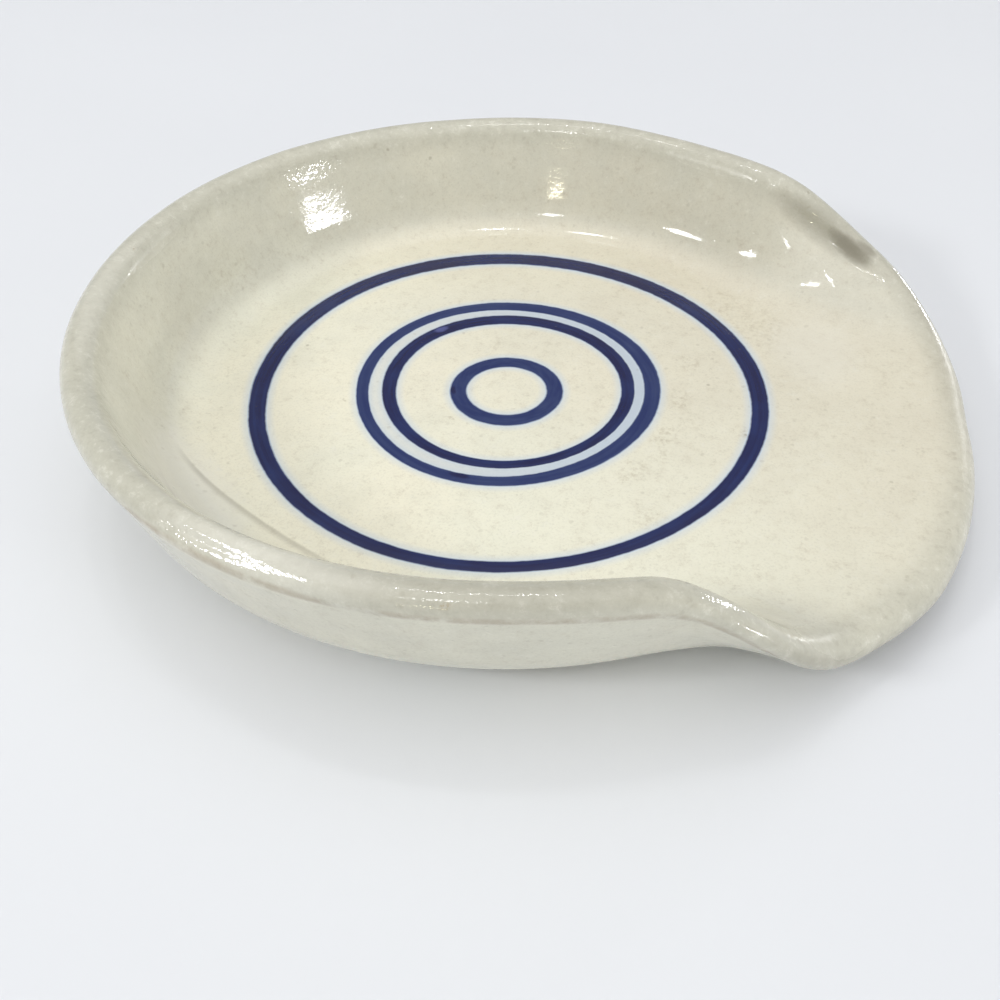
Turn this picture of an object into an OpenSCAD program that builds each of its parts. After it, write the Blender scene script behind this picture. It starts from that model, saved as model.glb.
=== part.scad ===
// Hand-thrown stoneware spoon rest: a shallow round dish whose wall is pressed down
// on one side into a low lip for the spoon's handle, on a turned foot ring, with four
// brushed bands laid into its floor.
// Frame: the wheel axis is Z, the foot stands on Z = 0, and the lip points along +X.
// Azimuths are degrees from the lip's axis, positive towards +Y.

/* [Floor and wall] */
// Radius of the flat floor, where the wall starts to turn up
floor_r = 51; // [42:0.5:60]
// Thickness of the floor above the foot ring's recess
floor_t = 6; // [4.5:0.1:9]
// Length, along the surface, of the turn from the floor into the wall
cove_len = 10.8; // [6:0.1:16]
// Length of the straight run from the turn to the rim
wall_run = 12.7; // [8:0.1:22]
// Slope of the wall above the floor, in degrees
wall_angle = 71; // [55:1:75]
// Thickness of the wall at the rounded rim
rim_t = 5.5; // [4.5:0.1:7]
// Radius of the rim's broad inner roll
rim_roll = 3.5; // [2.8:0.1:4.5]
// How far the rim departs from a true circle, at its widest and narrowest
oval = 0.85; // [0:0.05:2.5]
// Azimuth of the oval rim's long axis, in degrees
oval_dir = 24; // [0:1:180]
// How far the wall's rim waves in and out, four times round
wave = 0.3; // [0:0.05:0.8]
// Azimuth of one outward wave, in degrees
wave_dir = 58; // [0:1:89]

/* [Lip] */
// Slope of the lip above the floor, in degrees
lip_angle = 2.5; // [0.5:0.1:8]
// Azimuth where the front shoulder starts to rise from the lip
front_rise_start = 33; // [20:1:40]
// Azimuth where the front shoulder reaches the wall
front_rise_end = 61; // [55:1:75]
// Azimuth where the front shoulder's slow sweep starts
front_sweep_start = 8; // [0:1:18]
// Azimuth where the front shoulder's slow sweep ends
front_sweep_end = 81; // [65:1:95]
// Share of the front shoulder that the slow sweep makes
front_sweep_share = 0.25; // [0:0.05:1]
// Azimuth where the back shoulder starts to rise from the lip
back_rise_start = 39; // [30:1:46]
// Azimuth where the back shoulder reaches the wall
back_rise_end = 58; // [54:1:75]
// Azimuth where the back shoulder's slow sweep starts
back_sweep_start = 15; // [5:1:28]
// Azimuth where the back shoulder's slow sweep ends
back_sweep_end = 66; // [55:1:95]
// Share of the back shoulder that the slow sweep makes
back_sweep_share = 0.7; // [0:0.05:1]
// How much shorter the pressed wall is at the lip's front corner
front_draw = 2.5; // [0:0.1:3]
// Azimuth of the front corner
front_corner = 42; // [30:1:50]
// How much longer the pressed wall is at the lip's back corner
back_stretch = 3.2; // [0:0.1:4]
// Azimuth of the back corner
back_corner = 28; // [20:1:45]
// Half the width of a corner, in degrees of azimuth
corner_spread = 22; // [12:1:25]
// How much lower the wall is beside the back shoulder
back_dip = 1; // [0:0.1:2]
// Azimuth of the dip beside the back shoulder
back_dip_dir = 65; // [55:1:80]
// Half the width of the dip, in degrees of azimuth
back_dip_spread = 30; // [20:1:40]

/* [Foot] */
// How far the foot ring's outer side lies inside the floor's edge
foot_inset = 5; // [3:0.1:10]
// Width of the face that the foot ring stands on
foot_w = 5; // [3:0.1:9]
// Height of the foot ring below the floor
foot_h = 2.2; // [1:0.1:4]
// Slope of the foot ring's two sides from upright, in degrees
foot_draft = 20; // [0:1:40]

/* [Bands] */
// Distance from the outer band to the floor's edge
outer_band_margin = 6; // [2:0.1:10]
// Width of the outer band
outer_band_w = 3.1; // [1.5:0.1:5]
// Inner radius of the middle pair of bands
pair_r = 19.7; // [15:0.1:22]
// Width of the middle pair's inner band
pair_inner_w = 2.4; // [1.5:0.1:3.5]
// Bare floor between the two bands of the middle pair
pair_gap = 2.0; // [1:0.1:3]
// Width of the middle pair's outer band
pair_outer_w = 2.5; // [1.5:0.1:3.5]
// Inner radius of the centre band
centre_band_r = 6.9; // [4:0.1:9]
// Width of the centre band
centre_band_w = 2.8; // [1.5:0.1:3.5]
// How far the centre band's middle lies off the wheel axis
centre_band_shift = 1.4; // [0:0.1:2]
// Azimuth that the centre band is shifted to
centre_band_dir = -73; // [-180:1:180]
// Depth to which a band lies in the floor, flush on top
band_t = 0.4; // [0.2:0.05:0.8]
// Clearance between a band's edges and its groove
band_gap = 0.05; // [0.02:0.01:0.1]

/* [Hidden] */
$fn = 180;
around_steps = 144;
cove_steps = 5;
run_steps = 2;
roll_steps = 5;
edge_steps = 6;
overrun = 0.5;
floor_z = foot_h + floor_t;
foot_r = floor_r - foot_inset;
foot_flare = foot_h * tan(foot_draft);
outer_band_r = floor_r - outer_band_margin - outer_band_w;
pair_outer_r = pair_r + pair_inner_w + pair_gap;
wall_len = cove_len + wall_run;
wall_reach = cove_len * sin(wall_angle) / (wall_angle * PI / 180) + wall_run * cos(wall_angle);
// Radius of the rim's tighter outer edge, which closes the rim's thickness
rim_edge = (rim_t - rim_roll * (1 - cos(wall_angle))) / (1 + cos(wall_angle));
glaze_colour = [0.87, 0.85, 0.77];
cobalt_colour = [0.16, 0.17, 0.36];
dark_cobalt_colour = [0.12, 0.11, 0.28];

// A step from 0 to 1 with no corner at either end
function ease(x) = let (t = min(max(x, 0), 1)) t * t * t * (t * (t * 6 - 15) + 10);
function step_up(a, from, to) = ease((a - from) / (to - from));
// A smooth rise to 1 at zero, gone at -1 and 1
function swell(x) = let (t = min(abs(x), 1)) pow(1 - t * t, 2);
// The azimuth, from -180 to 180 degrees
function signed(a) = a > 180 ? a - 360 : a;

// How much of the wall's slope is left at an azimuth: 0 on the lip, 1 on the wall
function front_share(a) = (1 - front_sweep_share) * step_up(a, front_rise_start, front_rise_end)
    + front_sweep_share * step_up(a, front_sweep_start, front_sweep_end);
function back_share(a) = (1 - back_sweep_share) * step_up(a, back_rise_start, back_rise_end)
    + back_sweep_share * step_up(a, back_sweep_start, back_sweep_end);
function wall_share(a) = a < 0 ? front_share(-a) : back_share(a);
function slope(a) = lip_angle + (wall_angle - lip_angle) * wall_share(a);
// Run of the section at an azimuth, drawn in or stretched at the lip's corners
function run(a) = wall_run - front_draw * swell((a + front_corner) / corner_spread)
    + back_stretch * swell((a - back_corner) / corner_spread)
    - back_dip * swell((a - back_dip_dir) / back_dip_spread);

// A point of the section, from 0 at the floor's edge to 1 at the rim, laid off by a depth
// square to the inner surface. The wall is one length of clay, bent by the slope.
function cove_radius(a) = cove_len / (slope(a) * PI / 180);
function cove_point(a, s, depth) = let (turn = slope(a) * s, c = cove_radius(a))
    [floor_r + (c + depth) * sin(turn), floor_z + c - (c + depth) * cos(turn)];
function run_point(a, s, depth) = cove_point(a, 1, depth) + run(a) * s * [cos(slope(a)), sin(slope(a))];
// Thickness of the section, from the floor to the rim
function thickness(s) = floor_t + (rim_t - floor_t) * s;
function cove_t(s) = thickness(s * cove_len / wall_len);
function run_t(s) = thickness((cove_len + s * wall_run) / wall_len);
// A step over the rim along an arc, from one heading to a lower one
function over(radius, from, to) = radius * [sin(from) - sin(to), cos(to) - cos(from)];
// A point of the rim's inner roll, and of its outer edge, which comes back down to the outside
function crest_heading(a) = slope(a) - wall_angle;
function roll_point(a, s) = run_point(a, 1, 0) + over(rim_roll, slope(a), slope(a) - wall_angle * s);
function edge_point(a, s) = roll_point(a, 1)
    + over(rim_edge, crest_heading(a), crest_heading(a) - (180 - wall_angle) * s);

// The section at an azimuth: up the inside, over the rim and back down the outside
function section(a) = concat(
    [for (i = [0 : cove_steps]) cove_point(a, i / cove_steps, 0)],
    [for (i = [1 : run_steps]) run_point(a, i / run_steps, 0)],
    [for (i = [1 : roll_steps]) roll_point(a, i / roll_steps)],
    [for (i = [1 : edge_steps]) edge_point(a, i / edge_steps)],
    [for (i = [run_steps - 1 : -1 : 0]) run_point(a, i / run_steps, run_t(i / run_steps))],
    [for (i = [cove_steps - 1 : -1 : 0]) cove_point(a, i / cove_steps, cove_t(i / cove_steps))]);
section_n = 2 * cove_steps + 2 * run_steps + roll_steps + edge_steps + 1;

// The rim is slightly oval and waved, and the floor stays round
function rim_share(p) = min((p[0] - floor_r) / wall_reach, 1);
function off_round(a) = oval * cos(2 * (a - oval_dir))
    + wave * cos(4 * (a - wave_dir)) * wall_share(signed(a));
function rounded_off(p, a) = p[0] + off_round(a) * rim_share(p);
function placed(p, a) = [rounded_off(p, a) * cos(a), rounded_off(p, a) * sin(a), p[1]];

// The dish without its foot: sections lofted round the wheel axis, closed by the floor's two faces
module bowl() {
    azimuths = [for (i = [0 : around_steps - 1]) 360 * i / around_steps];
    points = [for (a = azimuths) each [for (p = section(signed(a))) placed(p, a)]];
    last = section_n - 1;
    sides = [
        for (i = [0 : around_steps - 1], j = [0 : last - 1])
            let (k = (i + 1) % around_steps, a = i * section_n + j, b = k * section_n + j)
                each [[a, a + 1, b + 1], [a, b + 1, b]]
    ];
    floor_face = [for (i = [around_steps - 1 : -1 : 0]) i * section_n];
    under_face = [for (i = [0 : around_steps - 1]) i * section_n + last];
    polyhedron(points, concat(sides, [floor_face, under_face]));
}

// The turned foot ring, set up into the floor
module foot_ring() {
    rotate_extrude()
        polygon([
            [foot_r - foot_flare - foot_w, 0],
            [foot_r - foot_flare, 0],
            [foot_r, foot_h],
            [foot_r, foot_h + overrun],
            [foot_r - foot_flare * 2 - foot_w, foot_h + overrun],
            [foot_r - foot_flare * 2 - foot_w, foot_h]
        ]);
}

// A flat ring from the band's depth up to a height over the floor
module floor_ring(inner_r, width, over) {
    translate([0, 0, floor_z - band_t])
        rotate_extrude()
            translate([inner_r, 0])
                square([width, band_t + over]);
}

module band(inner_r, width) {
    floor_ring(inner_r + band_gap, width - 2 * band_gap, 0);
}

// The centre band's place, a little off the wheel axis
module off_axis() {
    translate(centre_band_shift * [cos(centre_band_dir), sin(centre_band_dir), 0])
        children();
}

module dish() {
    color(glaze_colour)
        difference() {
            union() {
                bowl();
                foot_ring();
            }
            floor_ring(outer_band_r, outer_band_w, overrun);
            floor_ring(pair_outer_r, pair_outer_w, overrun);
            floor_ring(pair_r, pair_inner_w, overrun);
            off_axis()
                floor_ring(centre_band_r, centre_band_w, overrun);
        }
}

module outer_band() {
    color(dark_cobalt_colour)
        band(outer_band_r, outer_band_w);
}

module pair_outer_band() {
    color(cobalt_colour)
        band(pair_outer_r, pair_outer_w);
}

module pair_inner_band() {
    color(dark_cobalt_colour)
        band(pair_r, pair_inner_w);
}

module centre_band() {
    color(cobalt_colour)
        off_axis()
            band(centre_band_r, centre_band_w);
}

dish();
outer_band();
pair_outer_band();
pair_inner_band();
centre_band();
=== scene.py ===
"""Spoon rest: a thrown stoneware dish under ivory glaze, its wall pressed down on one side into a
lip for the spoon's handle, with four cobalt bands brushed round its floor.

Frame: metres, the wheel axis is Z, the foot stands on Z = 0 and the lip points along +X."""
import math

import bpy
from mathutils import Matrix, Vector


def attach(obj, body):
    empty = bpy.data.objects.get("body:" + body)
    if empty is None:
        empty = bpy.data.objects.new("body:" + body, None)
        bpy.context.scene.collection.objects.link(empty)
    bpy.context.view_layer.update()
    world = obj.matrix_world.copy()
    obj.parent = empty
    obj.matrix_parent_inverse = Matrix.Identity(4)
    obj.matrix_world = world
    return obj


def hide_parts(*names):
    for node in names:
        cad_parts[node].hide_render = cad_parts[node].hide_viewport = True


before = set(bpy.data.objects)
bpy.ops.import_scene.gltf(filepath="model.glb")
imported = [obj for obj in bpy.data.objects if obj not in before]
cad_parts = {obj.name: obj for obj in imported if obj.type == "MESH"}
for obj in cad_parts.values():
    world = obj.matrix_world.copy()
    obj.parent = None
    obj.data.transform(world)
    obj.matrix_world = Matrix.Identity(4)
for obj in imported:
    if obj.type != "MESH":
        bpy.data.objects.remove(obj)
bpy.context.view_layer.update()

MM = 0.001
DEG = math.radians(1)


def srgb(red, green, blue):
    """A colour given in screen bytes, as linear light."""
    return tuple(((c / 255 + 0.055) / 1.055) ** 2.4 for c in (red, green, blue))


# Sizes of the dish: one section, bent by a slope that falls from the wall to the lip
DISH = {
    "Floor radius": 51 * MM,
    "Floor height": 8.2 * MM,
    "Floor thickness": 6 * MM,
    "Cove length": 10.8 * MM,
    "Wall run": 12.7 * MM,
    "Wall angle": 71 * DEG,
    "Rim thickness": 5.5 * MM,
    "Rim roll": 3.5 * MM,
    "Oval": 0.85 * MM,
    "Oval direction": 24 * DEG,
    "Wave": 0.3 * MM,
    "Wave direction": 58 * DEG,
    "Lip angle": 2.5 * DEG,
    "Front rise start": 33 * DEG,
    "Front rise end": 61 * DEG,
    "Front sweep start": 8 * DEG,
    "Front sweep end": 81 * DEG,
    "Front sweep share": 0.25,
    "Back rise start": 39 * DEG,
    "Back rise end": 58 * DEG,
    "Back sweep start": 15 * DEG,
    "Back sweep end": 66 * DEG,
    "Back sweep share": 0.7,
    "Front draw": 2.5 * MM,
    "Front corner": 42 * DEG,
    "Back stretch": 3.2 * MM,
    "Back corner": 28 * DEG,
    "Corner spread": 22 * DEG,
    "Back dip": 1.0 * MM,
    "Dip direction": 65 * DEG,
    "Dip spread": 30 * DEG,
    "Foot radius": 46 * MM,
    "Foot width": 5 * MM,
    "Foot height": 2.2 * MM,
    "Foot flare": 0.8 * MM,
    "Throwing depth": 0.1 * MM,
    "Unevenness": 0.2 * MM,
    "Rim wobble": 0.3 * MM,
    "Crease depth": 0.2 * MM,
    "Fold depth": 1.1 * MM,
    "Flat depth": 1.2 * MM,
    "Seed": 4.0,
}
FLOOR_Z = DISH["Floor height"]
FOOT_H = DISH["Foot height"]
# From the start of the rim's roll down the inside to the floor
WALL_LEN = DISH["Cove length"] + DISH["Wall run"]
# Over the rim: a broad inner roll, then a tighter outer edge that closes the rim's thickness
ROLL_ARC = DISH["Rim roll"] * DISH["Wall angle"]
RIM_EDGE = ((DISH["Rim thickness"] - DISH["Rim roll"] * (1 - math.cos(DISH["Wall angle"])))
            / (1 + math.cos(DISH["Wall angle"])))
RIM_ARC = ROLL_ARC + RIM_EDGE * (math.pi - DISH["Wall angle"])
# How far each flank of the foot ring reaches either side of its edge, in flares
OUTER_FLANK = (0.6, -1.4)
INNER_FLANK = (0.4, -1.6)

# Faces round the wheel, and rows of faces across each sheet of the skins
AROUND = 360
FLOOR_ROWS = 22
FLOOR_EDGE_ROWS = 16
COVE_ROWS = 26
WALL_ROWS = 20
ROLL_ROWS = 16
OUTSIDE_ROWS = 18
FOOT_ROWS = (6, 10, 6, 10, 24)
BAND_TOP_ROWS = 16
BAND_UNDER_ROWS = 6
# The share of the floor's radius at which its finer rows start
FLOOR_SPLIT = 0.86
MERGE_GAP = 0.002 * MM

# The maker's hand: scales of its noise, per metre, and the level that such noise hardly passes
RINGS_AROUND = 7
RINGS_ALONG = 280
UNEVEN_SCALE = 42.0
WOBBLE_SCALE = 45.0
STROKE_EDGE_SCALE = 160.0
NOISE_TOP = 0.8
# Where forms and tints fade in and out, from the start of the rim's roll or past the rim's edge
RINGS_FADES = ((-1 * MM, -4 * MM), (-23 * MM, -19 * MM))
UNEVEN_FADES = ((0.5 * MM, 4 * MM), (24 * MM, 16 * MM))
WOBBLE_FADES = ((6 * MM, 0.0), (-6 * MM, 0.0))
RIM_FADES = ((4 * MM, -3 * MM), (-1 * MM, 1.5 * MM))
BROWN_EDGE_FADES = ((1.1 * MM, 0.2 * MM), (-1.0 * MM, -0.3 * MM))
COARSE_FADES = ((5 * MM, 0.0), (-1 * MM, 1 * MM))
# The throwing line: where it lies lowest, its climb from there, its two slopes and its ends
CREASE_TURN = -110 * DEG
CREASE_LOW = 25 * MM
CREASE_CLIMB = 17 * MM
CREASE_SLOPES = ((-1.3 * MM, 0.0), (0.4 * MM, 0.0))
CREASE_ENDS = ((-148 * DEG, -139 * DEG), (-96 * DEG, -114 * DEG))
# The fold's pocket: its middle and half width round the wheel, and its two slopes down the wall
FOLD_TURN = 43 * DEG
FOLD_WIDE = 9 * DEG
FOLD_SLOPES = ((-0.6 * MM, 2.0 * MM), (7.5 * MM, 2.0 * MM))

# The run of each brushed band: its middle radius and half width, and how both change on the way
BAND_SIZES = {
    "Radius": 43.4 * MM,
    "Shift": 0.0,
    "Shift direction": 0.0,
    "Oval": 0.0,
    "Oval direction": 0.0,
    "Pinch": 0.0,
    "Pinch direction": 0.0,
    "Half width": 1.75 * MM,
    "Swelling": 0.0,
    "Swelling direction": 0.0,
    "Floor height": FLOOR_Z,
    "Crown": 0.03 * MM,
    "Sink": 0.12 * MM,
    "Wobble": 0.2 * MM,
    "Seed": 0.0,
}
BANDS = {
    "outer_band": {
        "Radius": 43.4 * MM, "Shift": 0.13 * MM, "Shift direction": -65 * DEG,
        "Oval": 0.16 * MM, "Oval direction": 5 * DEG,
        "Pinch": 0.3 * MM, "Pinch direction": 14 * DEG,
        "Half width": 1.95 * MM, "Swelling": 0.6 * MM, "Swelling direction": 106 * DEG,
        "Seed": 11.0,
    },
    "pair_outer_band": {
        "Radius": 25.3 * MM, "Shift": 0.27 * MM, "Shift direction": 119 * DEG,
        "Oval": 0.2 * MM, "Oval direction": 34 * DEG,
        "Pinch": 0.27 * MM, "Pinch direction": 24 * DEG,
        "Half width": 1.58 * MM, "Swelling": 0.25 * MM, "Swelling direction": 52 * DEG,
        "Seed": 23.0,
    },
    "pair_inner_band": {
        "Radius": 20.9 * MM, "Shift": 0.24 * MM, "Shift direction": -8 * DEG,
        "Oval": 0.08 * MM, "Oval direction": 32 * DEG,
        "Pinch": 0.19 * MM, "Pinch direction": 26 * DEG,
        "Half width": 1.54 * MM, "Swelling": 0.35 * MM, "Swelling direction": 113 * DEG,
        "Seed": 37.0,
    },
    "centre_band": {
        "Radius": 8.3 * MM, "Shift": 1.45 * MM, "Shift direction": -73 * DEG,
        "Half width": 1.82 * MM,
        "Seed": 53.0,
    },
}
DARK_BANDS = ("outer_band", "pair_inner_band")
# How far the edges of a band lie under the floor, as a share of its crown
BAND_LAP = 0.2
# How far beyond a band its cobalt bleeds into the glaze, and where the bleed is full
BLEED = (1.4 * MM, -0.3 * MM)

WARM_IVORY = srgb(236, 232, 211)
COOL_IVORY = srgb(233, 232, 213)
GREY_IVORY = srgb(212, 208, 189)
BEIGE_SHADE = srgb(215, 208, 188)
WALL_GREY_AND_SHADE = srgb(201, 199, 184)
RIM_GREY = srgb(186, 184, 169)
CHALK = srgb(230, 228, 216)
SHADE_GREY = srgb(138, 133, 118)
THIN_GLAZE = srgb(150, 130, 104)
SMUDGE = srgb(164, 150, 122)
SPECK = srgb(128, 116, 92)
HALO = srgb(197, 209, 220)
GAP_BLUE = srgb(170, 186, 206)
BARE_CLAY = srgb(196, 176, 146)
NAVY = srgb(4, 10, 66)
COBALT = srgb(20, 38, 92)
SLATE = srgb(44, 59, 104)
VIOLET = srgb(84, 90, 146)
FLOOR_PALE = srgb(222, 224, 228)
FLOOR_PALER = srgb(228, 230, 233)

# Noise of the glaze, the cobalt and the floor: scale per metre, detail and roughness
NOISE = {
    "drift": (34.0, 3.0, 0.5),
    "mottle": (140.0, 5.0, 0.65),
    "far side": (70.0, 3.0, 0.5),
    "wall": (90.0, 5.0, 0.65),
    "grain": (520.0, 5.0, 0.8),
    "tooth": (2400.0, 2.0, 0.7),
    "rim": (130.0, 4.0, 0.6),
    "breaks": (300.0, 4.0, 0.6),
    "ragged": (420.0, 4.0, 0.7),
    "grime": (1000.0, 3.0, 0.7),
    "nudge": (900.0, 1.0, 0.5),
    "gloss": (260.0, 2.0, 0.5),
    "fine peel": (2300.0, 1.0, 0.5),
    "peel": (900.0, 1.0, 0.5),
    "broad peel": (300.0, 1.0, 0.5),
    "pools": (110.0, 3.0, 0.5),
    "brush": (500.0, 2.0, 0.5),
    "feather": (700.0, 2.0, 0.5),
    "floor": (6.0, 3.0, 0.5),
}
# Dots in the glaze: cells per metre, size as a share of a cell, and how rare they are
PITS = (700.0, 0.25, 0.7)
FINE_SPECKS = (640.0, 0.32, 0.8)
LARGE_SPECKS = (260.0, 0.12, 0.86)
# Streaks in the cobalt: their scale round the wheel, on a circle of radius 1, and across, per metre
STREAKS_ALONG = 2.5
STREAKS_ACROSS = 1500.0

# Roughness of the glaze where it is smoothest, and what the noise adds
GLOSS = 0.05
GLOSS_CHANGE = 0.06
WIPED_ROUGHNESS = 0.6
PEEL_HEIGHT = 0.014 * MM
# How much deeper the orange peel grows on the rim
RIM_COARSER = 3

# Places on the glaze: azimuth in degrees, millimetres down from the start of the rim's roll, half of
# each extent, and strength
# Painted shade in the fold's pocket under the rim at the back and on the shadowed outer edges of the
# rim and lip, there partly the glaze's own grey and tan
SHADE_AND_GREY_PLACES = (
    (41.5, 0.6, 5, 2.4, 0.9), (40, -0.8, 2.4, 1.9, 0.8), (46, 0.8, 9, 4, 0.4),
    (-40, -6.0, 9, 2.6, 0.4), (-76, -5, 26, 4, 0.25), (25, -2, 30, 5, 0.15),
    (-12, -6.5, 44, 3.2, 0.4),
)
# Painted light, partly a chalkier glaze: lighter places on the front-left wall and on the rim
CHALK_AND_LIGHT_PLACES = (
    (-133, 16, 22, 10, 0.7), (-164, -3, 20, 2.2, 0.3), (-100, -5, 18, 4, 0.45),
    (25, 18, 14, 9, 0.3),
)
SMUDGES = (
    (-33, 44, 8, 3, 0.4), (-22, 43.4, 6, 2.6, 0.3), (-13, 44.4, 8, 3, 0.4), (-3, 42.4, 6, 4, 0.25),
    (7, 44, 7, 2.6, 0.4), (25, 41, 8, 2.8, 0.35), (-41, 35, 5, 3.2, 0.35), (-3, 33, 3, 3, 0.4),
    (-120, 61.4, 4, 0.5, 0.6), (-157, 46.4, 2, 0.6, 0.6), (168, 12.5, 8, 5, 0.25),
    (40, 24, 16, 7, 0.25), (-81, -6.5, 1.2, 0.7, 1), (-176, -2.7, 0.8, 0.6, 1),
)
# Places where handling has dulled the gloss, the strength being what it adds to the roughness
DULL_PLACES = (
    (-38, -1, 8, 6, 0.3), (180, -0.6, 12, 2.4, 0.3), (66, -0.6, 12, 2.4, 0.3),
    (12, -7, 34, 5, 0.4), (10, -1.6, 22, 2.4, 0.35),
)
# Stretches of the rim that were flattened, the strength being a share of the depth
FLATS = ((-108, -6.1, 14, 3.6, 1.0), (-54.5, -4.3, 7, 2.6, 0.3))
# Places on the bands where the brush was lifted or went over twice, with the radius for the distance
THIN_STROKES = ((140, 21.3, 5, 0.9, 0.8),)
DARK_STROKES = ((-92, 24.8, 5, 0.8, 0.9), (-157, 9.4, 9, 0.6, 0.9))

# Light from all round, and what is added to it towards the zenith
ROOM_LIGHT = 0.48
ZENITH_LIGHT = 0.98
WHITE = (1, 1, 1)
AMBER = (1, 0.93, 0.66)
# Lamps: azimuth and elevation in degrees, width and height in metres, radiance and colour
LAMPS = {
    "right_lamp": (-14, 7.5, 0.26, 0.038, 90, WHITE),
    "left_lamp": (-140, 32, 0.18, 0.16, 34, WHITE),
    "near_lamp": (-92, 52, 0.1, 0.1, 20, WHITE),
    "warm_lamp": (-89, 9, 0.07, 0.012, 120, AMBER),
    "far_lamp": (57, 8, 0.1, 0.07, 45, WHITE),
    "overhead_lamp_1": (140, 76, 0.045, 0.045, 60, WHITE),
    "overhead_lamp_2": (100, 80, 0.045, 0.045, 60, WHITE),
}

# The camera: how far it looks down, its roll, its heading, its place and a lens as long as its sensor
PITCH = 43.57 * DEG
ROLL = 0.55 * DEG
HEADING = 16 * DEG
CAMERA_SPOT = Vector((37.73, -136.32, 114.9)) * MM
LENS = 36

# Sockets of a Mix node set to colour: its two colours and its result
MIX_LOW = 6
MIX_HIGH = 7
MIX_RESULT = 2


class Wire:
    """An output socket of a node tree. Sums of wires and numbers add Math nodes to the tree."""

    def __init__(self, tree, socket=None):
        self.tree = tree
        self.socket = socket

    def node(self, kind, values=None, out=0, **settings):
        """Adds a node: its settings first, then the values or links of its sockets."""
        made = self.tree.nodes.new(kind)
        for name, value in settings.items():
            setattr(made, name, value)
        for key, value in (values or {}).items():
            socket = made.inputs[key]
            for item in value if isinstance(value, list) else [value]:
                if isinstance(item, Wire):
                    self.tree.links.new(item.socket, socket)
                elif socket.type == "RGBA":
                    socket.default_value = (*item, 1)
                else:
                    socket.default_value = item
        return Wire(self.tree, made.outputs[out] if len(made.outputs) else None)

    def math(self, operation, *values):
        return self.node("ShaderNodeMath", dict(enumerate(values)), operation=operation)

    def __add__(self, other):
        return self.math("ADD", self, other)

    def __sub__(self, other):
        return self.math("SUBTRACT", self, other)

    def __rsub__(self, other):
        return self.math("SUBTRACT", other, self)

    def __mul__(self, other):
        return self.math("MULTIPLY", self, other)

    def __truediv__(self, other):
        return self.math("DIVIDE", self, other)

    def __rtruediv__(self, other):
        return self.math("DIVIDE", other, self)

    def __pow__(self, other):
        return self.math("POWER", self, other)

    def __neg__(self):
        return self.math("MULTIPLY", self, -1)

    __radd__ = __add__
    __rmul__ = __mul__

    def sine(self):
        return self.math("SINE", self)

    def cosine(self):
        return self.math("COSINE", self)

    def size(self):
        return self.math("ABSOLUTE", self)

    def at_most(self, other):
        return self.math("MINIMUM", self, other)

    def at_least(self, other):
        return self.math("MAXIMUM", self, other)

    def rise(self, start, end, kind="SMOOTHSTEP"):
        """A smooth step from 0 at start to 1 at end, which may be the lower of the two."""
        values = {"Value": self, "From Min": start, "From Max": end}
        return self.node("ShaderNodeMapRange", values, interpolation_type=kind)

    def parts(self):
        """The three numbers of a vector."""
        split = self.node("ShaderNodeSeparateXYZ", {0: self}).socket.node
        return [Wire(self.tree, socket) for socket in split.outputs]

    def joined(self, y, z):
        """The vector with this wire as its x."""
        return self.node("ShaderNodeCombineXYZ", {"X": self, "Y": y, "Z": z})

    def noise(self, scale, detail=2.0, roughness=0.5):
        """Smooth noise about 0.5 on a vector."""
        values = {"Vector": self, "Scale": scale, "Detail": detail, "Roughness": roughness}
        return self.node("ShaderNodeTexNoise", values, out="Fac")

    def tint(self, low, high):
        """The colour from low, where this wire is 0, to high, where it is 1."""
        values = {0: self, MIX_LOW: low, MIX_HIGH: high}
        return self.node("ShaderNodeMix", values, out=MIX_RESULT, data_type="RGBA")


def total(wires):
    """The sum of a few wires."""
    return sum(wires[1:], wires[0])


def within(fades, first, second):
    """1 where both distances are past their fades, and 0 before either."""
    return first.rise(*fades[0]) * second.rise(*fades[1])


def geometry_tree(name, sizes):
    """A Geometry Nodes tree with these named inputs: a wire to start from, and one for each."""
    tree = bpy.data.node_groups.new(name, "GeometryNodeTree")
    tree.interface.new_socket("Geometry", in_out="OUTPUT", socket_type="NodeSocketGeometry")
    for label, value in sizes.items():
        entry = tree.interface.new_socket(label, in_out="INPUT", socket_type="NodeSocketFloat")
        entry.default_value = value
    tree.interface.new_socket("Finish", in_out="INPUT", socket_type="NodeSocketMaterial")
    start = Wire(tree)
    outlets = start.node("NodeGroupInput").socket.node.outputs
    return start, {label: Wire(tree, outlets[label]) for label in [*sizes, "Finish"]}


def close_sheets(start, sheets, finish, shape=None):
    """Joins sheets into one closed smooth skin, shapes it and ends the tree."""
    skin = start.node("GeometryNodeJoinGeometry", {"Geometry": sheets})
    skin = start.node("GeometryNodeMergeByDistance", {"Geometry": skin, "Distance": MERGE_GAP})
    if shape:
        skin = shape(skin)
    skin = start.node("GeometryNodeSetShadeSmooth", {"Geometry": skin})
    skin = start.node("GeometryNodeRealizeInstances", {"Geometry": skin})
    skin = start.node("GeometryNodeSetMaterial", {"Geometry": skin, "Material": finish})
    start.node("NodeGroupOutput", {"Geometry": skin})
    return start.tree


def grid_fields(start):
    """Azimuth and share of the way across, for a sheet of the wheel's skin laid out flat."""
    x, y, _ = start.node("GeometryNodeInputPosition").parts()
    return x * (-2 * math.pi), y + 0.5


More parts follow.
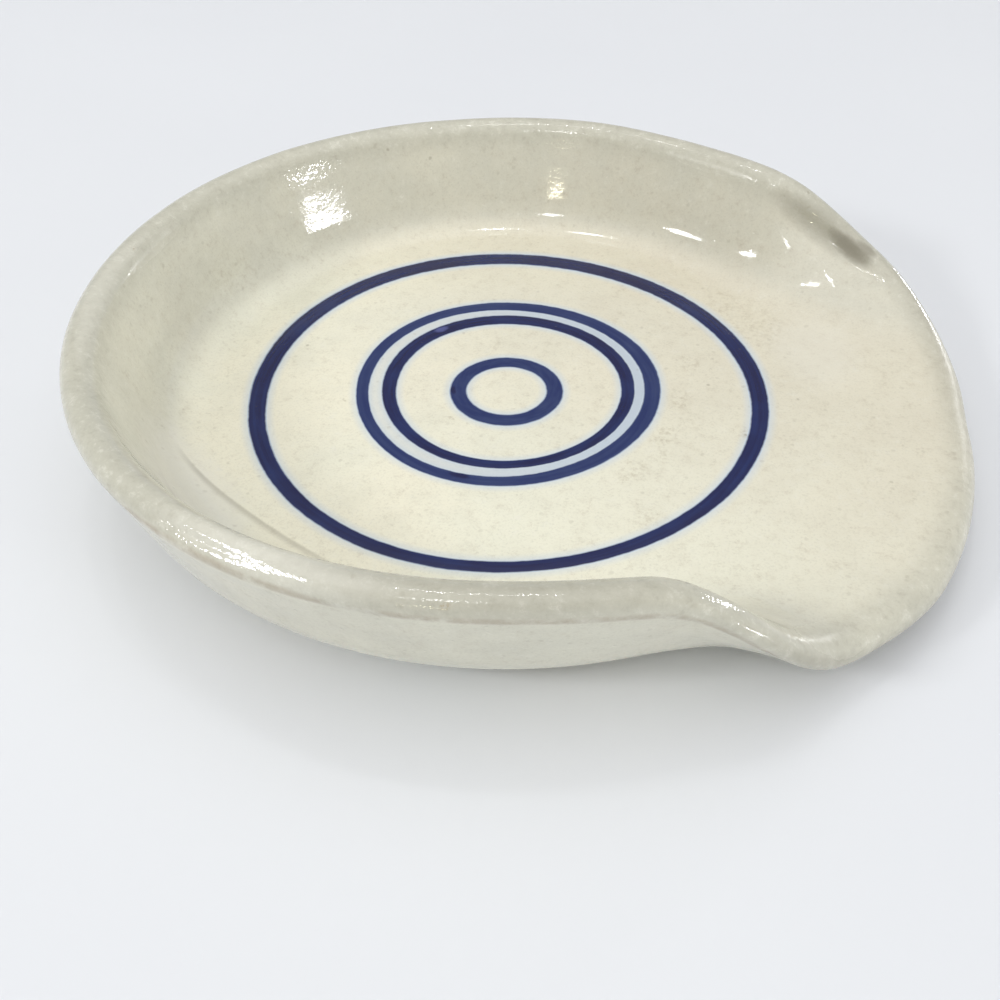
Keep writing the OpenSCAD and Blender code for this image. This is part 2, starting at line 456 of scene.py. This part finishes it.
def wheel_sheet(start, across, azimuth, radius, height, label, value):
    """A sheet closed round the wheel axis, with one number of each point kept under a label."""
    grid = {"Size X": 1.0, "Size Y": 1.0, "Vertices X": AROUND + 1, "Vertices Y": across + 1}
    sheet = start.node("GeometryNodeMeshGrid", grid, out="Mesh")
    kept = {"Geometry": sheet, "Name": label, "Value": value}
    sheet = start.node("GeometryNodeStoreNamedAttribute", kept, data_type="FLOAT", domain="POINT")
    spot = (radius * azimuth.cosine()).joined(radius * azimuth.sine(), height)
    return start.node("GeometryNodeSetPosition", {"Geometry": sheet, "Position": spot})


def kept_number(start, label):
    """A number that was kept for each point of a mesh."""
    return start.node("GeometryNodeInputNamedAttribute", {"Name": label}, data_type="FLOAT")


def crease(azimuth, along):
    """A throwing line on the left that climbs from the floor's edge into the cove: 1 at its bottom."""
    ahead = azimuth - CREASE_TURN
    off = along - (CREASE_LOW - ahead * ahead * CREASE_CLIMB)
    return within(CREASE_SLOPES, off, off) * within(CREASE_ENDS, azimuth, azimuth)


def fold(azimuth, along):
    """A pocket close under the rim where the wall was pressed down at the back: 1 at its bottom."""
    across = (azimuth - FOLD_TURN) / FOLD_WIDE
    pocket = (across * across).rise(1.0, 0.0)
    upper, lower = FOLD_SLOPES
    return pocket * along.rise(*upper) * along.rise(*lower)


def flat(azimuth, along):
    """The flattened stretches of the rim: their depth at a place, 1 in the middle of the deepest."""
    depths = []
    for turn, middle, wide, deep, share in FLATS:
        across = (azimuth - turn * DEG) / (wide * DEG)
        over = (along - middle * MM) / (deep * MM)
        hollow = (1 - across * across).at_least(0.0) * ((1 - over * over).at_least(0.0) ** 2)
        depths.append(hollow * share)
    return total(depths)


def dish_tree():
    """The dish: floor, cove, wall, rounded rim and their outsides as sheets of one bent section."""
    start, size = geometry_tree("thrown_dish", DISH)
    azimuth, share = grid_fields(start)
    floor_r = size["Floor radius"]
    floor_z = size["Floor height"]
    floor_t = size["Floor thickness"]
    rim_t = size["Rim thickness"]
    cove_len = size["Cove length"]
    wall_run = size["Wall run"]
    lip = size["Lip angle"]
    wall = size["Wall angle"]

    def shoulder(side, angle):
        rise = angle.rise(size[side + " rise start"], size[side + " rise end"], "SMOOTHERSTEP")
        sweep = angle.rise(size[side + " sweep start"], size[side + " sweep end"], "SMOOTHERSTEP")
        return rise + (sweep - rise) * size[side + " sweep share"]

    def swell(middle, spread):
        reach = ((azimuth - middle) / size[spread]).size().at_most(1.0)
        return (1 - reach * reach) ** 2

    upright = shoulder("Front", -azimuth) + shoulder("Back", azimuth)
    slope = lip + (wall - lip) * upright
    run = (wall_run - size["Front draw"] * swell(-size["Front corner"], "Corner spread")
           + size["Back stretch"] * swell(size["Back corner"], "Corner spread")
           - size["Back dip"] * swell(size["Dip direction"], "Dip spread"))
    cove_r = cove_len / slope
    wall_len = cove_len + wall_run
    wall_reach = cove_len / wall * wall.sine() + wall_run * wall.cosine()
    off_round = (size["Oval"] * ((azimuth - size["Oval direction"]) * 2).cosine()
                 + size["Wave"] * ((azimuth - size["Wave direction"]) * 4).cosine() * upright)

    def thickness(s):
        return floor_t + (rim_t - floor_t) * s

    def cove(s, depth):
        turn = slope * s
        bow = cove_r + depth
        return floor_r + bow * turn.sine(), floor_z + cove_r - bow * turn.cosine()

    def up_wall(s, depth):
        radius, height = cove(1.0, depth)
        return radius + run * s * slope.cosine(), height + run * s * slope.sine()

    def over_rim(place, bow, heading, next_heading):
        radius, height = place
        return (radius + (heading.sine() - next_heading.sine()) * bow,
                height + (next_heading.cosine() - heading.cosine()) * bow)

    def sheet(across, place, along):
        radius, height = place
        radius = radius + off_round * ((radius - floor_r) / wall_reach).at_most(1.0).at_least(0.0)
        return wheel_sheet(start, across, azimuth, radius, height, "along", along)

    def level(across, inside, outside):
        radius = floor_r * (inside + share * (outside - inside))
        return sheet(across, (radius, floor_z), wall_len + floor_r - radius)

    back = 1 - share
    roll = size["Rim roll"]
    rim_top = slope - wall
    wall_top = up_wall(1.0, 0.0)
    crest = over_rim(wall_top, roll, slope, rim_top)
    past_run = 1 + (roll - RIM_EDGE) * wall.sine() / run
    sheets = [
        level(FLOOR_ROWS, 0.0, FLOOR_SPLIT),
        level(FLOOR_EDGE_ROWS, FLOOR_SPLIT, 1.0),
        sheet(COVE_ROWS, cove(share, 0.0), wall_len - cove_len * share),
        sheet(WALL_ROWS, up_wall(share, 0.0), wall_run * back),
        sheet(ROLL_ROWS, over_rim(wall_top, roll, slope, slope - wall * share), share * -ROLL_ARC),
        sheet(OUTSIDE_ROWS, over_rim(crest, RIM_EDGE, rim_top, rim_top + (wall - math.pi) * share),
              share * (ROLL_ARC - RIM_ARC) - ROLL_ARC),
        sheet(OUTSIDE_ROWS,
              up_wall(back * past_run, thickness((cove_len + wall_run * back) / wall_len)),
              wall_run * -share - RIM_ARC),
        sheet(OUTSIDE_ROWS, cove(back, thickness(cove_len * back / wall_len)),
              cove_len * back - wall_len - RIM_ARC),
    ]

    foot_r = size["Foot radius"]
    flare = size["Foot flare"]
    foot_w = size["Foot width"]
    outer_flank = [foot_r + flare * reach for reach in OUTER_FLANK]
    inner_flank = [foot_r - flare - foot_w + flare * reach for reach in INNER_FLANK]

    def turned(across, outside, inside):
        radius = outside + (inside - outside) * share
        raised = 1 - radius.rise(*outer_flank) * radius.rise(*reversed(inner_flank))
        height = size["Foot height"] * raised
        return sheet(across, (radius, height), radius - wall_len - floor_r - RIM_ARC)

    edges = [floor_r, *outer_flank, *inner_flank, 0.0]
    for across, outside, inside in zip(FOOT_ROWS, edges, edges[1:]):
        sheets.append(turned(across, outside, inside))

    def shape(skin):
        """The maker's hand: rings outside, an uneven wall and rim, a crease, a fold and flats."""
        spot = start.node("GeometryNodeInputPosition")
        x, y, _ = spot.parts()
        along = kept_number(start, "along")
        past_rim = along + RIM_ARC
        lean = (x * RINGS_AROUND).joined(y * RINGS_AROUND, along * RINGS_ALONG + size["Seed"])
        rings = (lean.noise(1.0) - NOISE_TOP).at_most(0.0) * within(RINGS_FADES, past_rim, past_rim)
        uneven = (spot.noise(UNEVEN_SCALE) - 0.5) * within(UNEVEN_FADES, along, along)
        lumps = x.joined(y, size["Seed"]).noise(WOBBLE_SCALE)
        wobble = (lumps - NOISE_TOP).at_most(0.0) * within(WOBBLE_FADES, along, past_rim)
        turn = start.math("ARCTAN2", y, x)
        depth = (rings * size["Throwing depth"] + uneven * size["Unevenness"]
                 + wobble * size["Rim wobble"] - crease(turn, along) * size["Crease depth"]
                 - fold(turn, along) * size["Fold depth"] - flat(turn, along) * size["Flat depth"])
        out = start.node("GeometryNodeInputNormal")
        move = start.node("ShaderNodeVectorMath", {0: out, "Scale": depth}, operation="SCALE")
        return start.node("GeometryNodeSetPosition", {"Geometry": skin, "Offset": move})

    return close_sheets(start, sheets, size["Finish"], shape)


def stroke_line(azimuth, size):
    """Middle radius and half width of a band at an azimuth: no stroke runs quite true."""
    middle = (size["Radius"] + (azimuth - size["Shift direction"]).cosine() * size["Shift"]
              + ((azimuth - size["Oval direction"]) * 2).cosine() * size["Oval"]
              + ((azimuth - size["Pinch direction"]) * 3).cosine() * size["Pinch"])
    half = size["Half width"] + (azimuth - size["Swelling direction"]).cosine() * size["Swelling"]
    return middle, half


def band_tree():
    """A brushed band: a thin crowned ring of pigment whose edges wander a little."""
    start, size = geometry_tree("brushed_band", BAND_SIZES)
    azimuth, share = grid_fields(start)
    middle, half = stroke_line(azimuth, size)
    x, y = middle * azimuth.cosine(), middle * azimuth.sine()

    def wander(seed):
        return (x.joined(y, seed).noise(STROKE_EDGE_SCALE, 3.0) - 0.5) * size["Wobble"]

    inside = middle - half + wander(size["Seed"])
    outside = middle + half + wander(size["Seed"] + 5)
    across = share * 2 - 1
    swell = 1 - across * across
    edge_z = size["Floor height"] - size["Crown"] * BAND_LAP
    top_z = edge_z + size["Crown"] * (1 + BAND_LAP) * swell
    under_z = edge_z - size["Sink"] * swell
    outwards = inside + (outside - inside) * share
    inwards = outside + (inside - outside) * share
    sheets = [
        wheel_sheet(start, BAND_TOP_ROWS, azimuth, outwards, top_z, "across", across),
        wheel_sheet(start, BAND_UNDER_ROWS, azimuth, inwards, under_z, "across", -across),
    ]
    return close_sheets(start, sheets, size["Finish"])


def made_piece(name, tree, finish, sizes):
    """Runs a tree with these sizes and keeps its result as a plain mesh."""
    piece = bpy.data.objects.new(name, bpy.data.meshes.new(name))
    bpy.context.scene.collection.objects.link(piece)
    maker = piece.modifiers.new(name, "NODES")
    maker.node_group = tree
    inputs = {e.name: e.identifier for e in tree.interface.items_tree if e.in_out == "INPUT"}
    for label, value in {**sizes, "Finish": finish}.items():
        maker[inputs[label]] = value
    graph = bpy.context.evaluated_depsgraph_get()
    shaped = piece.evaluated_get(graph)
    mesh = bpy.data.meshes.new_from_object(shaped, preserve_all_data_layers=True, depsgraph=graph)
    piece.modifiers.remove(maker)
    piece.data = mesh
    mesh.name = name
    return piece


def new_material(name):
    """A new material, a wire to start from and its Principled shader."""
    material = bpy.data.materials.new(name)
    material.use_nodes = True
    nodes = material.node_tree.nodes
    return material, Wire(material.node_tree), nodes["Principled BSDF"]


def feed(start, shader, **wires):
    """Links wires to the shader's sockets, which are named with _ for a space."""
    for name, wire in wires.items():
        start.tree.links.new(wire.socket, shader.inputs[name.replace("_", " ")])


def specks(start, spot, scale, size, rarity):
    """Specks or pits: round dots in a share of the cells of a loose pattern."""
    cells = start.node("ShaderNodeTexVoronoi", {"Vector": spot, "Scale": scale}, out="Distance")
    chance = Wire(start.tree, cells.socket.node.outputs["Color"]).parts()[0]
    return cells.rise(size, size * 0.35) * chance.rise(rarity, rarity + 0.15)


def glaze_skin(start, spot, coarse=1.0):
    """Roughness of the glaze and its normal, dimpled like orange peel, more so where it is coarse."""
    pits = specks(start, spot, *PITS) * 1.5
    fine, middling, broad = [spot.noise(*NOISE[kind]) for kind in ("fine peel", "peel", "broad peel")]
    peel = (fine * 0.5 + middling + broad) * coarse - pits
    bump = {"Height": peel, "Strength": 1.0, "Distance": PEEL_HEIGHT}
    roughness = GLOSS + spot.noise(*NOISE["gloss"]) * GLOSS_CHANGE
    return roughness, start.node("ShaderNodeBump", bump)


def marked(azimuth, distance, ragged, places):
    """The strongest of a few soft ragged patches at an azimuth and a distance."""
    strongest = None
    for turn, middle, wide, deep, strength in places:
        across = azimuth.math("WRAP", azimuth - turn * DEG, math.pi, -math.pi) / (wide * DEG)
        down = (distance - middle * MM) / (deep * MM)
        patch = (across * across + down * down + ragged).rise(1.0, 0.0) * strength
        strongest = patch if strongest is None else strongest.at_least(patch)
    return strongest


def stoneware_finish():
    """Ivory glaze, greyer up the wall, thin on the rim, wiped off the foot; painted shade and light
    too.
    """
    material, start, shader = new_material("glazed_stoneware")
    spot = start.node("ShaderNodeTexCoord", out="Object")
    x, y, z = spot.parts()
    along = start.node("ShaderNodeAttribute", out="Fac", attribute_name="along")
    azimuth = start.math("ARCTAN2", y, x)
    radius = start.math("SQRT", x * x + y * y)
    ragged = (spot.noise(*NOISE["ragged"]) - 0.5) * 2
    past_rim = along + RIM_ARC
    on_floor = along.rise(WALL_LEN - 0.5 * MM, WALL_LEN + 0.5 * MM)

    # The body of the glaze: drifts of colour, mottle and grain, with painted shade to the far side and
    # up the wall
    colour = spot.noise(*NOISE["drift"]).rise(0.35, 0.65).tint(WARM_IVORY, COOL_IVORY)
    mottle = spot.noise(*NOISE["mottle"]).rise(0.4, 0.75) * 0.3
    colour = mottle.tint(colour, GREY_IVORY)
    # Painted shade: the glaze is painted beiger and darker towards the far side of the dish
    far_side_shade = (x * 0.6 + y * 0.8).rise(-35 * MM, 60 * MM)
    far_side_shade = far_side_shade * (0.5 + spot.noise(*NOISE["far side"]) * 0.7)
    colour = far_side_shade.tint(colour, BEIGE_SHADE)
    # Greyer and darker up from the floor: partly the glaze's own grey, partly painted shade
    raised = z.rise(FLOOR_Z, FLOOR_Z + 3.3 * MM) * (0.25 + spot.noise(*NOISE["wall"]) * 0.8)
    colour = raised.tint(colour, WALL_GREY_AND_SHADE)
    grain = spot.noise(*NOISE["grain"])
    colour = (grain.rise(0.5, 0.8) * 0.3).tint(colour, THIN_GLAZE)
    colour = (grain.rise(0.48, 0.2) * 0.5).tint(colour, CHALK)
    colour = (spot.noise(*NOISE["tooth"]).rise(0.45, 0.85) * 0.2).tint(colour, SHADE_GREY)

    # Cobalt that bled into it beside the bands, most of all between the pair
    strokes = {node: stroke_line(azimuth, {**BAND_SIZES, **sizes}) for node, sizes in BANDS.items()}
    bleeds = [((radius - middle).size() - half).rise(*BLEED) for middle, half in strokes.values()]
    colour = (total(bleeds) * on_floor * 0.55).tint(colour, HALO)
    inner, outer = strokes["pair_inner_band"][0], strokes["pair_outer_band"][0]
    gap = radius.rise(inner, inner + 1 * MM) * radius.rise(outer, outer - 1 * MM)
    colour = (gap * on_floor * (0.35 + x / radius * 0.2)).tint(colour, GAP_BLUE)

    # The rim, where it ran thin, and a brown line, broken here and there, along its outer edge
    rim = within(RIM_FADES, along, past_rim)
    colour = (rim * (0.4 + spot.noise(*NOISE["rim"]) * 0.6)).tint(colour, RIM_GREY)
    colour = (rim * grain.rise(0.5, 0.7) * 0.16).tint(colour, SHADE_GREY)
    colour = (rim * grain.rise(0.48, 0.32) * 0.35).tint(colour, CHALK)
    edge = within(BROWN_EDGE_FADES, past_rim, past_rim)
    breaks = spot.noise(*NOISE["breaks"]).rise(0.25, 0.6)
    colour = (edge * breaks * 0.45).tint(colour, THIN_GLAZE)

    # Single places, smudges, specks and the bare foot
    # Painted light, partly a chalkier glaze: lighter places on the front-left wall and the rim
    colour = marked(azimuth, along, ragged * 0.4, CHALK_AND_LIGHT_PLACES).tint(colour, CHALK)
    # Painted shade along the throwing line, partly the glaze pooled in it
    colour = (crease(azimuth, along) * 0.4).tint(colour, SHADE_GREY)
    # Painted shade: darker places in the fold's pocket and on the outer edges of the rim and lip
    colour = marked(azimuth, along, ragged * 0.25, SHADE_AND_GREY_PLACES).tint(colour, SHADE_GREY)
    grimy = spot.noise(*NOISE["grime"]).rise(0.42, 0.72)
    colour = (marked(azimuth, along, ragged, SMUDGES) * grimy).tint(colour, SMUDGE)
    nudge = spot.noise(*NOISE["nudge"]) * (0.6 * MM)
    nudged = start.node("ShaderNodeVectorMath", {0: spot, 1: nudge}, operation="ADD")
    colour = (specks(start, nudged, *FINE_SPECKS) * 0.16).tint(colour, SPECK)
    colour = (specks(start, nudged, *LARGE_SPECKS) * 0.4).tint(colour, SPECK)
    wiped = z.rise(FOOT_H + 0.2 * MM, FOOT_H - 0.2 * MM)
    colour = wiped.tint(colour, BARE_CLAY)

    coarse = 1 + within(COARSE_FADES, along, past_rim) * RIM_COARSER
    roughness, normal = glaze_skin(start, spot, coarse)
    dull = marked(azimuth, along, ragged * 0.2, DULL_PLACES)
    roughness = roughness + dull + wiped * WIPED_ROUGHNESS
    feed(start, shader, Base_Color=colour, Roughness=roughness, Normal=normal)
    return material


def cobalt_finish(name, pigment, thin):
    """Cobalt under the glaze: streaks run with the stroke, and its edges bleed into the ivory."""
    material, start, shader = new_material(name)
    spot = start.node("ShaderNodeTexCoord", out="Object")
    x, y, _ = spot.parts()
    azimuth = start.math("ARCTAN2", y, x)
    radius = start.math("SQRT", x * x + y * y)
    across = start.node("ShaderNodeAttribute", out="Fac", attribute_name="across")
    with_stroke = [place / radius * STREAKS_ALONG for place in (x, y)]
    streaks = with_stroke[0].joined(with_stroke[1], radius * STREAKS_ACROSS).noise(1.0, 3.0)
    pools = spot.noise(*NOISE["pools"])
    weight = streaks.rise(0.35, 0.7) * 0.6 + pools.rise(0.4, 0.7) * 0.4
    stroke = weight.tint(pigment, thin)
    ragged = (spot.noise(*NOISE["brush"]) - 0.5) * 1.2
    stroke = marked(azimuth, radius, ragged, THIN_STROKES).tint(stroke, VIOLET)
    stroke = marked(azimuth, radius, ragged, DARK_STROKES).tint(stroke, NAVY)
    feather = spot.noise(*NOISE["feather"]) * 0.12
    solid = (across.size() + feather).rise(0.96, 0.74)
    roughness, normal = glaze_skin(start, spot)
    feed(start, shader, Base_Color=solid.tint(HALO, stroke), Roughness=roughness, Normal=normal)
    return material


def floor_finish():
    """A plain pale floor with a faint tooth."""
    material, start, shader = new_material("pale_floor")
    spot = start.node("ShaderNodeTexCoord", out="Object")
    feed(start, shader, Base_Color=spot.noise(*NOISE["floor"]).tint(FLOOR_PALE, FLOOR_PALER))
    shader.inputs["Roughness"].default_value = 0.7
    shader.inputs["Specular IOR Level"].default_value = 0.2
    return material


def pale_sweep():
    """A round floor that curves up at its edge into a low backdrop."""
    reach, bend, top = 1.2, 0.45, 0.3
    turns, bend_steps = 96, 10
    bends = [step * 90 / bend_steps * DEG for step in range(1, bend_steps + 1)]
    profile = [(reach, 0.0)]
    profile += [(reach + bend * math.sin(turn), bend - bend * math.cos(turn)) for turn in bends]
    profile.append((reach + bend, bend + top))
    points = [(r * math.cos(2 * math.pi * i / turns), r * math.sin(2 * math.pi * i / turns), z)
              for r, z in profile for i in range(turns)]
    points.append((0.0, 0.0, 0.0))
    middle = len(points) - 1
    faces = [(middle, i, (i + 1) % turns) for i in range(turns)]
    for row in range(len(profile) - 1):
        low, high = row * turns, row * turns + turns
        for i in range(turns):
            after = (i + 1) % turns
            faces.append((low + i, high + i, high + after, low + after))
    mesh = bpy.data.meshes.new("pale_sweep")
    mesh.from_pydata(points, [], faces)
    mesh.shade_smooth()
    mesh.materials.append(floor_finish())
    sweep = bpy.data.objects.new("pale_sweep", mesh)
    bpy.context.scene.collection.objects.link(sweep)


def softbox(name, azimuth, elevation, width, height, radiance, colour):
    """An oval lamp a metre away, aimed at the dish, as bright all over as the radiance says."""
    lamp = bpy.data.lights.new(name, "AREA")
    lamp.shape = "ELLIPSE"
    lamp.size = width
    lamp.size_y = height
    lamp.color = colour
    lamp.energy = radiance * math.pi * width * height * math.pi / 4
    placed = bpy.data.objects.new(name, lamp)
    turn, lift = azimuth * DEG, elevation * DEG
    level = math.cos(lift)
    aim = Vector((math.cos(turn) * level, math.sin(turn) * level, math.sin(lift)))
    placed.matrix_world = Matrix.Translation(aim) @ aim.to_track_quat("Z", "Y").to_matrix().to_4x4()
    bpy.context.scene.collection.objects.link(placed)


def studio():
    """Soft light all round, stronger from above, and the lamps that the glaze mirrors."""
    world = bpy.data.worlds.new("studio")
    world.use_nodes = True
    start = Wire(world.node_tree)
    height = start.node("ShaderNodeTexCoord", out="Generated").parts()[2]
    strength = ROOM_LIGHT + height.rise(0.6, 1.0) * ZENITH_LIGHT
    background = world.node_tree.nodes["Background"]
    background.inputs["Color"].default_value = (*WHITE, 1)
    feed(start, background, Strength=strength)
    bpy.context.scene.world = world
    for name, settings in LAMPS.items():
        softbox(name, *settings)


def photo_camera():
    """The photo's camera: its place, how far it looks down and its slight roll."""
    lens = bpy.data.cameras.new("camera")
    lens.lens = LENS
    lens.sensor_width = LENS
    lens.clip_start = 10 * MM
    camera = bpy.data.objects.new("camera", lens)
    turn = Matrix.Rotation(HEADING, 4, "Z") @ Matrix.Rotation(math.pi / 2 - PITCH, 4, "X")
    camera.matrix_world = Matrix.Translation(CAMERA_SPOT) @ turn @ Matrix.Rotation(-ROLL, 4, "Z")
    bpy.context.scene.collection.objects.link(camera)
    bpy.context.scene.camera = camera


photo_camera()
studio()
pale_sweep()

glazed_dish = made_piece("glazed_dish", dish_tree(), stoneware_finish(), DISH)
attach(glazed_dish, "root")
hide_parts("dish")

brushed_band = band_tree()
finishes = {
    "dark_cobalt": cobalt_finish("dark_cobalt", NAVY, COBALT),
    "cobalt": cobalt_finish("cobalt", COBALT, SLATE),
}
for node, sizes in BANDS.items():
    slot = "dark_cobalt" if node in DARK_BANDS else "cobalt"
    piece = made_piece("brushed_" + node, brushed_band, finishes[slot], {**BAND_SIZES, **sizes})
    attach(piece, "root")
    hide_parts(node)

bpy.context.scene.view_settings.view_transform = "Standard"
